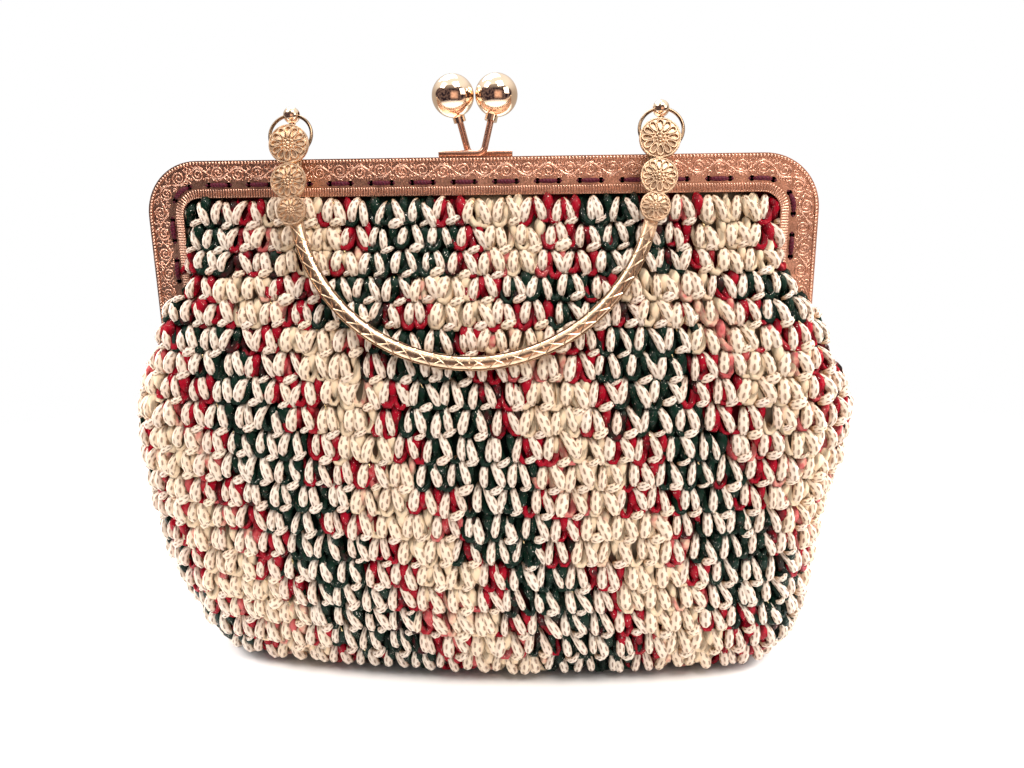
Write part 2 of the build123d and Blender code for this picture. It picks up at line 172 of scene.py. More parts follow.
# Each strand's path over one stitch: share of a stitch aside, rows down, millimetres out
LEG_LEFT = ((-0.05, 0.00, -0.8), (-0.12, 0.22, 1.4), (-0.22, 0.62, 4.6), (-0.19, 1.02, 2.2))
LEG_RIGHT = ((0.08, 0.00, -0.8), (0.18, 0.22, 1.4), (0.38, 0.62, 4.8), (0.44, 1.05, 2.2))
LOOP_END = ((0.36, 0.14, 1.4), (0.44, 0.16, 3.9), (0.66, 0.04, 4.0), (0.74, -0.08, 1.8))
DYED_LEFT = ((-0.40, 0.05, 0.4), (-0.56, 1.40, 3.1), (0.16, 1.46, 3.1), (0.04, 0.10, 0.2))
DYED_RIGHT = ((0.18, 0.08, 0.2), (0.10, 1.42, 3.1), (0.86, 1.48, 3.1), (0.52, 0.05, 0.4))
DYED_FILL = ((0.03, 0.10, 0.0), (0.07, 0.34, 2.0), (0.12, 0.66, 2.6), (0.14, 0.98, 0.6))
DYED_GAP = ((0.48, -0.04, 0.6), (0.50, 0.22, 2.4), (0.54, 0.52, 2.6), (0.58, 0.90, 0.4))
FLECK = ((0.00, 0.08, 1.6), (0.03, 0.16, 2.4), (0.07, 0.22, 2.6), (0.10, 0.32, 2.4))
LEG_RADII = (0.68, 0.99, 1.21, 1.41, 1.54, 1.60, 1.50, 1.06)
LOOP_RADII = (0.75, 1.15, 1.26, 1.24, 1.08, 0.70)
DYED_RADII = (0.55, 0.95, 1.06, 1.00, 1.00, 1.06, 0.95, 0.55)
FILL_RADII = (0.80, 1.40, 1.60, 1.40, 1.05, 0.55)
FLECK_RADII = (0.10, 0.20, 0.20, 0.10)

# Strands of a stitch: name, paths, radii, faces round, spread of size, share kept, finish
STRANDS = (
    ("ivory_legs", (LEG_LEFT, LEG_RIGHT), LEG_RADII, 8, 0.09, 1.0, "ivory"),
    ("ivory_loops", (LOOP_END,), LOOP_RADII, 8, 0.18, 0.80, "ivory"),
    ("dyed_strands", (DYED_LEFT, DYED_RIGHT), DYED_RADII, 6, 0.14, 1.0, "dyed"),
    ("dyed_fill", (DYED_FILL, DYED_GAP), FILL_RADII, 6, 0.14, 1.0, "dyed"),
    ("gold_flecks", (FLECK,), FLECK_RADII, 5, 0.20, 0.16, "fleck"),
)


# ---- shader helpers


def arithmetic(operation):
    """A method of Wire that makes one math node."""

    def calculate(wire, *others):
        return wire.board.node("ShaderNodeMath", {"operation": operation}, [wire, *others])

    return calculate


class Wire:
    """A node socket that takes part in Python arithmetic."""

    def __init__(self, board, socket):
        self.board = board
        self.socket = socket

    __add__ = __radd__ = arithmetic("ADD")
    __sub__ = arithmetic("SUBTRACT")
    __mul__ = __rmul__ = arithmetic("MULTIPLY")
    __truediv__ = arithmetic("DIVIDE")
    power = arithmetic("POWER")
    sine = arithmetic("SINE")
    absolute = arithmetic("ABSOLUTE")
    fraction = arithmetic("FRACT")
    below = arithmetic("LESS_THAN")

    def __rsub__(self, other):
        return self.board.node("ShaderNodeMath", {"operation": "SUBTRACT"}, [other, self])

    def step(self, low, high):
        """0 at low, 1 at high, smooth between."""
        smooth = {"interpolation_type": "SMOOTHSTEP"}
        return self.board.node("ShaderNodeMapRange", smooth, [self, low, high])

    def wave(self):
        """Between 0 and 1, once for each whole number."""
        return (self * math.tau).sine() * 0.5 + 0.5


class Board:
    """The node tree of a material or of the world."""

    def __init__(self, owner):
        owner.use_nodes = True
        self.owner = owner
        self.tree = owner.node_tree
        self.shader = self.tree.nodes.get("Principled BSDF")

    def put(self, socket, value):
        if isinstance(value, Wire):
            self.tree.links.new(value.socket, socket)
        elif socket.type == "RGBA":
            socket.default_value = (*value, 1.0)
        else:
            socket.default_value = value

    def node(self, kind, settings=None, inputs=None, output=0):
        made = self.tree.nodes.new(kind)
        for key, value in (settings or {}).items():
            setattr(made, key, value)
        pairs = inputs.items() if isinstance(inputs, dict) else enumerate(inputs or [])
        for key, value in pairs:
            self.put(made.inputs[key], value)
        return Wire(self, made.outputs[output])

    def mix(self, share, first, second):
        inputs = {0: share, 6: first, 7: second}
        return self.node("ShaderNodeMix", {"data_type": "RGBA"}, inputs, 2)

    def place(self):
        return self.node("ShaderNodeTexCoord", output="Object")

    def uv(self):
        return self.split(self.node("ShaderNodeTexCoord", output="UV"))[:2]

    def split(self, vector):
        first = self.node("ShaderNodeSeparateXYZ", inputs=[vector])
        return [Wire(self, socket) for socket in first.socket.node.outputs]

    def join(self, x, y, z):
        return self.node("ShaderNodeCombineXYZ", inputs=[x, y, z])

    def dye(self):
        return self.node("ShaderNodeAttribute", {"attribute_name": "dye"}, output="Fac")

    def ramp(self, share, *stops):
        made = self.node("ShaderNodeValToRGB", inputs=[share], output="Color")
        kept = made.socket.node.color_ramp.elements
        for index, (place, colour) in enumerate(stops):
            stop = kept[index] if index < 2 else kept.new(place)
            stop.position = place
            stop.color = (*colour, 1.0)
        return made

    def noise(self, vector, scale, detail=2.0):
        inputs = {"Vector": vector, "Scale": scale, "Detail": detail}
        return self.node("ShaderNodeTexNoise", inputs=inputs, output="Fac")

    def bump(self, height, strength, distance):
        inputs = {"Height": height, "Strength": strength, "Distance": distance}
        return self.node("ShaderNodeBump", inputs=inputs, output="Normal")

    def show(self, surface, output):
        self.tree.links.new(surface.socket, self.tree.nodes[output].inputs["Surface"])

    def finish(self, **inputs):
        for name, value in inputs.items():
            label = name.replace("_", " ").title().replace("Ior", "IOR")
            self.put(self.shader.inputs[label], value)
        return self.owner


def material_board(name):
    """The board of a new material."""
    return Board(bpy.data.materials.new(name))


def shade(colour, *shares):
    """A colour times one share, or times a share for each of its channels."""
    return tuple(float(c) for c in np.multiply(colour, shares))


# ---- mesh helpers


def select_only(piece):
    bpy.ops.object.select_all(action="DESELECT")
    piece.select_set(True)
    bpy.context.view_layer.objects.active = piece


def added(operator, **sizes):
    """Adds an object, which is then the only one selected."""
    operator(**sizes)
    return bpy.context.object


def edited(operator, **sizes):
    """Runs one edit on all of the active piece's mesh."""
    bpy.ops.object.mode_set(mode="EDIT")
    bpy.ops.mesh.select_all(action="SELECT")
    operator(**sizes)
    bpy.ops.object.mode_set(mode="OBJECT")


def named(piece, name, material):
    """Gives a piece its name and its one material."""
    piece.name = name
    piece.data.name = name
    piece.data.materials.clear()
    piece.data.materials.append(material)
    return piece


def finished(piece, name, material, angle=None):
    """Applies a piece's place, turns its faces outwards, smooths and names it."""
    select_only(piece)
    bpy.ops.object.transform_apply(location=True, rotation=True, scale=True)
    edited(bpy.ops.mesh.normals_make_consistent, inside=False)
    if angle is None:
        bpy.ops.object.shade_smooth()
    else:
        bpy.ops.object.shade_smooth_by_angle(angle=angle)
    return named(piece, name, material)


def joined(pieces, name, material):
    """Joins pieces into one named piece with one material."""
    select_only(pieces[0])
    for piece in pieces:
        piece.select_set(True)
    bpy.ops.object.join()
    return named(pieces[0], name, material)


def bezier(controls, rings):
    """Points on cubic curves: controls (n, 4, 3) give (n, rings, 3)."""
    t = np.linspace(0, 1, rings)
    weights = np.array([(1 - t) ** 3, 3 * t * (1 - t) ** 2, 3 * t**2 * (1 - t), t**3])
    return np.einsum("kt,nkc->ntc", weights, controls)


def unit(vectors):
    return vectors / np.maximum(np.linalg.norm(vectors, axis=-1, keepdims=True), 1e-12)


def strand_faces(rings, sides):
    """Corners, corner counts and UVs of one closed strand, whose two poles come last."""
    j, k = np.meshgrid(np.arange(rings - 1), np.arange(sides), indexing="ij")
    j = j.ravel()[:, None] + np.array((0, 0, 1, 1))
    k = k.ravel()[:, None] + np.array((0, 1, 1, 0))
    quads = j * sides + k % sides
    quad_uv = np.stack([k / sides, j / (rings - 1)], axis=-1).reshape(-1, 2)
    k = np.arange(sides)
    after = (k + 1) % sides
    top = (rings - 1) * sides
    pole = np.full(sides, rings * sides)
    low = np.stack([pole, after, k], 1)
    high = np.stack([pole + 1, k + top, after + top], 1)
    low_u = np.stack([k + 0.5, k + 1.0, k], 1)
    high_u = np.stack([k + 0.5, k, k + 1.0], 1)
    cap_u = np.concatenate([low_u, high_u]).ravel() / sides
    cap_uv = np.stack([cap_u, np.repeat((0.0, 1.0), 3 * sides)], 1)
    corners = np.concatenate([quads.ravel(), low.ravel(), high.ravel()])
    counts = np.concatenate([np.full(len(quads), 4), np.full(2 * sides, 3)])
    return corners, counts, np.concatenate([quad_uv, cap_uv])


def lay_strands(name, centres, outward, radii, size=1.0, sides=6, flat=1.0, dye=None):
    """One mesh of closed strands along centre lines (n, rings, 3); their radii are in mm."""
    count, rings, _ = centres.shape
    slope = unit(np.gradient(centres, axis=1))
    outward = np.broadcast_to(outward, (count, 3))[:, None]
    up = unit(outward - (outward * slope).sum(-1, keepdims=True) * slope)
    across = np.cross(slope, up)
    turn = np.arange(sides)[:, None] * math.tau / sides
    ring = np.cos(turn) * across[:, :, None] + flat * np.sin(turn) * up[:, :, None]
    radius = np.array(radii) * MM * np.broadcast_to(size, count)[:, None]
    points = centres[:, :, None] + radius[:, :, None, None] * ring
    points = points.reshape(count, -1, 3)
    points = np.concatenate([points, centres[:, :1], centres[:, -1:]], axis=1)
    each = points.shape[1]
    corners, counts, uv = strand_faces(rings, sides)
    strand = np.arange(count)[:, None]
    starts = np.cumsum(counts) - counts + len(corners) * strand
    mesh = bpy.data.meshes.new(name)
    mesh.vertices.add(count * each)
    mesh.vertices.foreach_set("co", points.ravel())
    mesh.loops.add(count * len(corners))
    mesh.loops.foreach_set("vertex_index", (corners + each * strand).ravel().astype(np.int32))
    mesh.polygons.add(count * len(counts))
    mesh.polygons.foreach_set("loop_start", starts.ravel().astype(np.int32))
    mesh.polygons.foreach_set("loop_total", np.tile(counts, count).astype(np.int32))
    mesh.update(calc_edges=True)
    mesh.shade_smooth()
    layer = mesh.uv_layers.new(name="UVMap")
    layer.data.foreach_set("uv", np.tile(uv.ravel(), count).astype(np.float32))
    if dye is not None:
        keep_dye(mesh, np.repeat(dye, each))
    piece = bpy.data.objects.new(name, mesh)
    bpy.context.collection.objects.link(piece)
    return piece


def keep_dye(mesh, dye):
    """Keeps each vertex's place in the yarn's repeat for the finishes; the back's shelf by the arms
    holds the darkest place instead, as painted shade.
    """
    made = mesh.attributes.new("dye", "FLOAT", "POINT")
    made.data.foreach_set("value", dye.astype(np.float32))


# ---- shape of the pouch


def profile(height):
    """Half width and half depth of the stitches' base surface, in millimetres."""
    a, b = (np.interp(height, POUCH[:, 0], POUCH[:, k]) - SKIN_DEPTH for k in (1, 2))
    return a, np.maximum(b, LEAST_DEPTH)


def outline(s, a, b):
    """Place and facing on the front half's outline, s mm along it from the middle."""
    end = END_ROUNDING * b
    front = ((a - end) ** 2 + b**2 - end**2) / (2 * (b - end))
    turn = np.arcsin((a - end) / (front - end))
    first = front * turn
    quarter = first + end * (np.pi / 2 - turn)
    reach = np.abs(s)
    side = np.sign(s)
    past = reach > quarter
    folded = np.where(past, 2 * quarter - reach, reach)
    on_front = folded <= first
    face = np.where(on_front, folded / front, turn + (folded - first) / end)
    x = np.where(on_front, front * np.sin(face), a - end + end * np.sin(face))
    y = np.where(on_front, front - b - front * np.cos(face), -end * np.cos(face))
    y = np.where(past, -y, y)
    face = np.where(past, np.pi - face, face)
    return x * side, y, face * side, quarter


def turned(places, back):
    """Places worked on the front, turned round for the back."""
    return places * ((-1, -1, 1) if back else (1, 1, 1))


def surface(s, height, lift, back):
    """Place (metres) of a point s mm round, at a height, lifted outwards; and its normal.

    The back is worked as the front and turned round later, so its right is at way -1.
    """
    way = -1 if back else 1
    a, b = profile(height)
    x, y, face, _ = outline(s, a, b)
    widest = POUCH[:, 1].max()
    slump = SLUMP * np.exp(-(((height - SLUMP_Z) / SLUMP_SPREAD) ** 2)) * (x / widest) ** 4
    lean = LEAN * np.clip((LEAN_TOP - height) / LEAN_RUN, 0, 1)
    x = x + way * (np.where(way * x > 0, slump, 0.0) + lean)
    a2, b2 = profile(height + 1.5)
    a1, b1 = profile(height - 1.5)
    slope = ((b1 - b2) * np.cos(face) ** 2 + (a1 - a2) * np.sin(face) ** 2) / 3.0
    normal = unit(np.stack([np.sin(face), -np.cos(face), slope], axis=-1))
    place = np.stack([x, y, height], axis=-1) + normal * lift[..., None]
    return place * MM, normal


def row_heights(pitch):
    """Heights of the rows, an even pitch apart along the belly, from under the frame down."""
    z = np.linspace(TOP_ROW_Z, 0.0, 1511)
    _, b = profile(z)
    run = np.concatenate([[0], np.cumsum(np.hypot(np.diff(z), np.diff(b)))])
    count = int(run[-1] / pitch)
    return np.interp(np.arange(count + 1) * pitch, run, z)


# ---- settings


class HandbagSettings(bpy.types.PropertyGroup):
    stitch_width: bpy.props.FloatProperty(
        name="Stitch width", description="Width of one crochet stitch", default=0.0088,
        subtype="DISTANCE", unit="LENGTH",
    )
    row_pitch: bpy.props.FloatProperty(
        name="Row pitch", description="Height of one crochet row", default=0.0079,
        subtype="DISTANCE", unit="LENGTH",
    )
    row_drift: bpy.props.FloatProperty(
        name="Row drift", description="Share of a stitch by which each row steps aside",
        default=0.25,
    )
    yarn_repeat: bpy.props.FloatProperty(
        name="Yarn repeat", description="Stitches in one repeat of the dyed yarn", default=7.3,
    )
    yarn_slip: bpy.props.FloatProperty(
        name="Yarn slip", description="Stitches by which the repeat moves on at each row",
        default=0.45,
    )
    ivory: bpy.props.FloatVectorProperty(
        name="Ivory", description="Colour of the knitted ribbon yarn", subtype="COLOR",
        default=(0.88, 0.77, 0.65),
    )
    crimson: bpy.props.FloatVectorProperty(
        name="Crimson", description="Red of the dyed yarn", subtype="COLOR",
        default=(0.36, 0.003, 0.016),
    )
    bottle_green: bpy.props.FloatVectorProperty(
        name="Bottle green", description="Green of the dyed yarn", subtype="COLOR",
        default=(0.003, 0.019, 0.011),
    )
    cream: bpy.props.FloatVectorProperty(
        name="Cream", description="Cream of the dyed yarn", subtype="COLOR",
        default=(0.90, 0.70, 0.48),
    )
    thread: bpy.props.FloatVectorProperty(
        name="Sewing thread", description="Colour of the sewing thread", subtype="COLOR",
        default=(0.10, 0.004, 0.020),
    )
    frame_metal: bpy.props.FloatVectorProperty(
        name="Frame metal", description="Colour of the frame's plating", subtype="COLOR",
        default=(0.92, 0.57, 0.42),
    )
    gold: bpy.props.FloatVectorProperty(
        name="Gold", description="Colour of the handle, balls and rings", subtype="COLOR",
        default=(0.85, 0.62, 0.42),
    )


def settings():
    return bpy.context.scene.handbag


def gauge():
    """Width of a stitch and height of a row, in millimetres."""
    return settings().stitch_width / MM, settings().row_pitch / MM


# ---- finishes


def ivory_yarn():
    """Knitted tube ribbon: columns of little links with eyes between them; painted shade darkens
    the eyes, the strand's sides and each leg's top, and painted light from the dyed yarn tints it.
    """
    board = material_board("ivory_ribbon_yarn")
    u, v = board.uv()
    dye = board.dye()
    column = u * 7.0
    across = (column.fraction() - 0.5).absolute()
    shift = (column * 0.5).fraction().below(0.5) * 0.5
    wander = (board.noise(board.place(), 900.0, 1.0) - 0.5) * 0.5
    along = (v * 4.4 + shift + wander).fraction()
    eye_x = (across / 0.36).power(2.0)
    eye_y = ((along - 0.5) / 0.34).power(2.0)
    eye = 1.0 - (eye_x + eye_y).step(0.25, 1.1)
    slot = 1.0 - (across / 0.16).power(2.0).step(0.3, 1.2)
    # Painted shade along the strand's sides and underside, away from its outer face.
    side = 1.0 - (u * math.tau).sine().step(-0.35, 0.75)
    tone = board.noise(board.place(), 130.0)
    base = tuple(settings().ivory)
    rosy = shade(base, 0.94, 0.80, 0.76)
    # Painted shade: orange-brown for where the legs tuck in at the nodes, also used at the sides.
    shade_brown = shade(base, 0.58, 0.33, 0.14)
    # Painted shade: the dark brown put into the eye holes between the links.
    deep_shade = shade(base, 0.24, 0.12, 0.06)
    # Painted light thrown back from the dyed yarn: the ivory turns rosy among red yarn and creamy
    # among cream yarn.
    colour = board.mix(dye.step(0.9, 1.6) * (1.0 - dye.step(2.0, 2.7)) * 0.45, base, rosy)
    colour = board.mix(dye.step(2.1, 3.0) * 0.55, colour, tuple(settings().cream))
    colour = board.mix(tone.step(0.4, 0.75) * 0.35, colour, rosy)
    # Painted shade: the strand's sides darkened to orange-brown.
    colour = board.mix(side * 0.55, colour, shade_brown)
    # Painted shade in the eye holes, darkest along the slot of each column.
    colour = board.mix(eye * (slot * 0.55 + 0.24), colour, deep_shade)
    # Painted shade at the top of each leg, where it tucks under the row above.
    colour = board.mix((1.0 - v.step(0.0, 0.36)) * 0.9, colour, shade_brown)
    height = (1.0 - eye) * 0.7 - slot * 0.25
    return board.finish(
        base_color=colour, roughness=0.55, specular_ior_level=0.35,
        normal=board.bump(height, 0.9, 0.00045),
    )


def dyed_yarn():
    """Glossy spun yarn, green, red or cream by its place in the dye's repeat."""
    board = material_board("dyed_satin_yarn")
    u, v = board.uv()
    look = settings()
    dye = board.dye()
    black = (0.0, 0.0, 0.0)
    jitter = board.noise(board.place(), 500.0, 1.0) - 0.5
    green, red, cream = tuple(look.bottle_green), tuple(look.crimson), tuple(look.cream)
    colour = board.ramp(
        (dye + jitter * 0.4) / 4.0,
        (0.0, green), (0.31, green), (0.35, (0.05, 0.006, 0.008)), (0.39, red),
        (0.60, red), (0.66, (0.66, 0.16, 0.15)), (0.71, cream), (1.0, cream),
    )
    fibre = board.noise(board.join(u * 26.0 + v * 3.0, v * 1.2, dye * 3.0), 4.0)
    ply = (u * 2.0 + v * 1.5).wave()
    # Darker where the fibres and plies dip: partly the fibres' uneven tone, partly painted shade in
    # the grooves.
    dark = board.mix(0.6, colour, black)
    colour = board.mix((fibre * 0.6 + ply * 0.4).step(0.25, 0.6), dark, colour)
    # Painted shade along the strand's sides and underside, on the green and red yarn only.
    side = 1.0 - (u * math.tau).sine().step(-0.3, 0.7)
    coloured = 1.0 - dye.step(2.5, 2.9)
    colour = board.mix(side * coloured * 0.5, colour, black)
    streak = board.noise(board.join(u * 18.0 + v * 2.0, v * 3.2, dye * 7.0), 3.0, 1.0)
    glint = streak.step(0.70, 0.74) * coloured
    colour = board.mix(glint, colour, (0.90, 0.84, 0.76))
    return board.finish(
        base_color=colour, metallic=glint, roughness=0.24, specular_ior_level=0.12,
        normal=board.bump(fibre * 0.8 + ply * 0.8, 0.6, 0.00035),
    )


def backing_yarn():
    """Inner face of the crochet, ribbed as its rows are, in the dye's colours darkened as painted
    shade.
    """
    board = material_board("inner_crochet_yarn")
    u, v = board.uv()
    look = settings()
    # Painted shade: the dye's green, red and cream darkened to a share of themselves.
    green, red = shade(look.bottle_green, 0.5), shade(look.crimson, 0.35)
    cream = shade(look.cream, 0.40)
    colour = board.ramp(
        board.dye() / 4.0,
        (0.0, green), (0.28, green), (0.36, red), (0.58, red), (0.72, cream), (1.0, cream),
    )
    ribs = v.wave()
    loops = ((u + v.fraction() * 0.5) * 2.0).wave()
    return board.finish(
        base_color=colour, roughness=0.85, specular_ior_level=0.2,
        normal=board.bump(ribs * 0.6 + loops * 0.6, 0.8, 0.001),
    )


def plated(name, colour, roughness, wear=0.12, patina=0.0, embossed_and_shaded_inside=False, satin=None):
    """Plated metal with fine scratches and patina; sheet made with embossed_and_shaded_inside is
    pebbled, and painted shade makes it nearly black inside.

    Above the height satin the metal is duller, as fine castings are.
    """
    board = material_board(name)
    spot = board.place()
    x, y, z = board.split(spot)
    fine = board.noise(spot, 900.0)
    height = fine
    cloud = board.noise(spot, 60.0, 3.0)
    tone = board.mix(cloud.step(0.35, 0.75), colour, shade(colour, 0.78))
    if patina:
        dark = shade(colour, 0.30, 0.26, 0.24)
        tone = board.mix(board.noise(spot, 420.0, 3.0).step(0.38, 0.62) * patina, tone, dark)
    if embossed_and_shaded_inside:
        pebble = board.node(
            "ShaderNodeTexVoronoi", inputs={"Vector": spot, "Scale": 1050.0}, output="Distance"
        )
        ring = (pebble * 2.2).wave()
        tone = board.mix(ring.step(0.45, 0.95) * 0.55, tone, shade(colour, 0.36))
        height = fine * 0.3 - ring
        # Painted shade: the frame's inside, off its face and under its top, made nearly black.
        deep_shade = 1.0 - y.absolute().step(FRAME_FACE - 0.25 * MM, FRAME_FACE - 0.10 * MM)
        low = 1.0 - z.step(FRAME_TOP - 1.5 * MM, FRAME_TOP - 1.0 * MM)
        inner = 1.0 - x.absolute().step(FRAME_HALF - 1.5 * MM, FRAME_HALF - 1.0 * MM)
        tone = board.mix(deep_shade * low * inner, tone, shade(colour, 0.06))
    rough = fine * wear + roughness
    if satin:
        rough = rough + z.step(satin - 3 * MM, satin + 3 * MM) * 0.20
    return board.finish(
        base_color=tone, metallic=1.0, roughness=rough,
        normal=board.bump(height, 0.12 + patina * 0.4, 0.0001),
    )


def sewing_thread():
    """Two-ply thread, by the turn and run of its UVs."""
    board = material_board("burgundy_sewing_thread")
    u, v = board.uv()
    twist = (u * 2.0 + v * 9.0).wave()
    colour = tuple(settings().thread)
    # Darker where the twist dips: painted shade in the groove between the plies.
    tone = board.mix(twist.step(0.0, 0.6), shade(colour, 0.55), colour)
    return board.finish(
        base_color=tone, roughness=0.6, specular_ior_level=0.3,
        normal=board.bump(twist, 0.5, 0.0002),
    )


# ---- crochet


def dye_place(turn, row, rng, spread=0.35):
    """Distance in stitches from the middle of the nearest green length of yarn."""
    look = settings()
    middle = -1.9 + look.yarn_slip * (row - 5.0)
    middle = middle - np.where(row < 4.5, 1.6, 0.0) + np.where(row < 2.5, 3.0, 0.0)
    near = (turn - middle + rng.normal(0, spread, np.shape(turn))) / look.yarn_repeat
    return np.abs(near - np.round(near)) * look.yarn_repeat


def at_arm(x, y, z, back):
    """Whether a stitch would lie where the frame's arm is, or swings."""
    if z <= ARM_CLEAR_Z:
        return False
    if back and abs(x) > ARM_INNER_X:
        return True
    if z < ARM_KNEE_Z:
        return y > -ARM_DEPTH
    return abs(x) > FRAME_INNER_X


def stitch_places(back):
    """Turn (stitches) and row of every stitch of one side of the pouch."""
    width, pitch = gauge()
    drift = settings().row_drift
    heights = row_heights(pitch)
    turns, rows = [], []
    for row in range(len(heights) - 1):
        z = heights[row] - pitch * 0.4
        a, b = profile(z)
        quarter = outline(0.0, a, b)[3]
        reach = int(quarter / width) + 2
        for index in range(-reach, reach + 1):
            turn = index - drift * (row % 4)
            s = (turn + 0.1) * width
            x, y, _, _ = outline(s, a, b)
            if abs(s) <= quarter + 0.25 * width and not at_arm(x, y, z, back):
                turns.append(turn)
                rows.append(row)
    return np.array(turns), np.array(rows, float), heights


def place_strands(turns, rows, heights, path, rng, back):
    """Control points and facings of one kind of strand; a path has four (u, v, lift)."""
    width, pitch = gauge()
    last = len(heights) - 1
    controls = np.zeros((len(turns), 4, 3))
    swing = rng.normal(0, WOBBLE, (len(turns), 2))
    puff = rng.normal(0, PUFF, len(turns))
    for k, (u, v, lift) in enumerate(path):
        s = (turns + u + swing[:, 0] * (0.3 + 0.8 * v)) * width
        level = rows + v + swing[:, 1] * 0.6
        z = np.interp(level, np.arange(last + 1), heights)
        z = np.where(level < 0, heights[0] - level * pitch, z)
        z = np.where(level > last, heights[last] - (level - last) * BASE_PITCH, z)
        raised = lift + puff * min(1.0, lift + 0.4)
        place, normal = surface(s, np.maximum(z, FLOOR_GAP), raised, back)
        inward = np.maximum(FLOOR_GAP - z, 0.0) * MM
        place[:, :2] -= normal[:, :2] * inward[:, None]
        controls[:, k] = place
        if k == 1:
            facing = normal
    return turned(controls, back), turned(facing, back)


def follow(piece, back):
    """The front's crochet stays with the bag; the back's keeps its place, applied to its mesh."""
    if back:
        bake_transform(piece)
    else:
        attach(piece, "bag")


def crochet_side(back, finishes):
    """Works all the strands of the front or the back."""
    rng = np.random.default_rng(11 if back else 7)
    turns, rows, heights = stitch_places(back)
    dye = dye_place(turns + 0.2, rows, rng)
    for part, paths, radii, sides, spread, share, finish in STRANDS:
        laid = []
        for path in paths:
            controls, facing = place_strands(turns, rows, heights, path, rng, back)
            laid.append((controls, facing, dye + rng.normal(0, 0.16, len(dye))))
        kept = rng.random(len(dye) * len(paths)) < share
        if part == "ivory_loops":
            kept &= rows > 0
        controls, outward, values = (np.concatenate(one)[kept] for one in zip(*laid))
        centres = bezier(controls, len(radii))
        size = rng.normal(1.0, spread, kept.sum())
        if finish == "ivory":
            size *= np.interp(values, (1.8, 2.6), (0.87, 1.08))
        piece = lay_strands(part, centres, outward, radii, size, sides, dye=values)
        named(piece, f"{SIDE[back]}_{part}", finishes[finish])
        follow(piece, back)


class HANDBAG_OT_crochet(bpy.types.Operator):
    """Works the ivory and dyed stitches of the front and the back"""

    bl_idname = "handbag.crochet"
    bl_label = "Crochet stitches"

    def execute(self, context):
        finishes = {"ivory": ivory_yarn(), "dyed": dyed_yarn()}
        finishes["fleck"] = plated("gold_fleck", (0.95, 0.78, 0.42), 0.12)
        for back in (False, True):
            crochet_side(back, finishes)
        return {"FINISHED"}


def wall_run(share, z, back):
    """How far round (mm) the inner wall's columns lie, clear of the arms; and x there."""
    a, b = profile(z)
    s = share * outline(0.0 * z, a, b)[3]
    limit = np.where(back | (z > ARM_KNEE_Z), ARM_INNER_X, np.inf)
    for _ in range(40):
        x, y, _, _ = outline(s, a, b)
        near = (y > 0.2 - ARM_DEPTH) & (z < ARM_KNEE_Z)
        s = np.where((z > ARM_CLEAR_Z) & (near | (np.abs(x) > limit)), s * 0.985, s)
    return s, x


def inner_wall(back, material):
    """The inner face of one side of the crochet, with its half of the base."""
    width, pitch = gauge()
    heights = row_heights(pitch)
    last = len(heights) - 1
    levels = np.arange(-WALL_ABOVE, last + WALL_BELOW + 0.01, 0.25)
    piece = added(
        bpy.ops.mesh.primitive_grid_add,
        x_subdivisions=WALL_COLUMNS, y_subdivisions=len(levels) - 1, size=1,
    )
    data = piece.data
    co = np.array([v.co for v in data.vertices])
    share = np.round((co[:, 0] + 0.5) * WALL_COLUMNS) / WALL_COLUMNS * 2 - 1
    index = np.round((co[:, 1] + 0.5) * (len(levels) - 1)).astype(int)
    level = levels[::-1][index]
    z = np.interp(level, np.arange(last + 1), heights)
    z = z + np.maximum(-level, 0) / WALL_ABOVE * (CHANNEL_TOP_Z - TOP_ROW_Z)
    s, x = wall_run(share, z, back)
    place, _ = surface(s, z, np.full(len(z), -0.7), back)
    place[:, 1] *= 1.0 - np.clip((level - last) / WALL_BELOW, 0, 1)
    place[:, 2] = np.maximum(place[:, 2], FLOOR_GAP * MM)
    data.vertices.foreach_set("co", turned(place, back).ravel())
    turn = s / width
    dye = dye_place(turn, level, np.random.default_rng(3), 0.0)
    # Painted shade: the shelf beside the back's arms takes the dye's darkest green.
    if back:
        rim = (z > ARM_CLEAR_Z - 3.0) & (z < ARM_KNEE_Z) & (np.abs(x) > ARM_INNER_X - 1.0)
        dye = np.where(rim, 0.0, dye)
    keep_dye(data, dye)
    uv = data.uv_layers.active.data
    for loop in data.loops:
        uv[loop.index].uv = (turn[loop.vertex_index], level[loop.vertex_index])
    data.update()
    solid = piece.modifiers.new("wall", "SOLIDIFY")
    solid.thickness = WALL_THICKNESS
    solid.offset = 1.0 if back else -1.0
    select_only(piece)
    bpy.ops.object.modifier_apply(modifier="wall")
    return finished(piece, f"{SIDE[back]}_inner_wall", material)


class HANDBAG_OT_backing(bpy.types.Operator):
    """Builds the inner face of the crochet and the base"""

    bl_idname = "handbag.backing"
    bl_label = "Inner crochet and base"

    def execute(self, context):
        material = backing_yarn()
        for back in (False, True):
            piece = inner_wall(back, material)
            follow(piece, back)
            if not back:
                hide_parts("pouch")
        return {"FINISHED"}


# ---- frame trim


def band_map(run, inset, reference):
    """Place (x, z) on the frame's face: run from the middle along it, inset from its edge."""
    run, inset = np.broadcast_arrays(run, inset)
    side, reach = np.sign(run), np.abs(run)
    bend = (CORNER - reference) * np.pi / 2
    turn = np.clip((reach - CORNER_X) / (CORNER - reference), 0, np.pi / 2)
    radius = CORNER - inset
    drop = np.maximum(reach - CORNER_X - bend, 0)
    x = np.minimum(reach, CORNER_X) + radius * np.sin(turn)
    z = CORNER_Z + radius * np.cos(turn) - drop
    taper = 1 - (1 - BAR_END / BAR) * np.clip((KNEE_Z - z) / (KNEE_Z - HINGE_Z), 0, 1)
    x = np.where(drop > 0, FRAME_HALF - inset * taper, x)
    return x * np.where(side == 0, 1, side), z


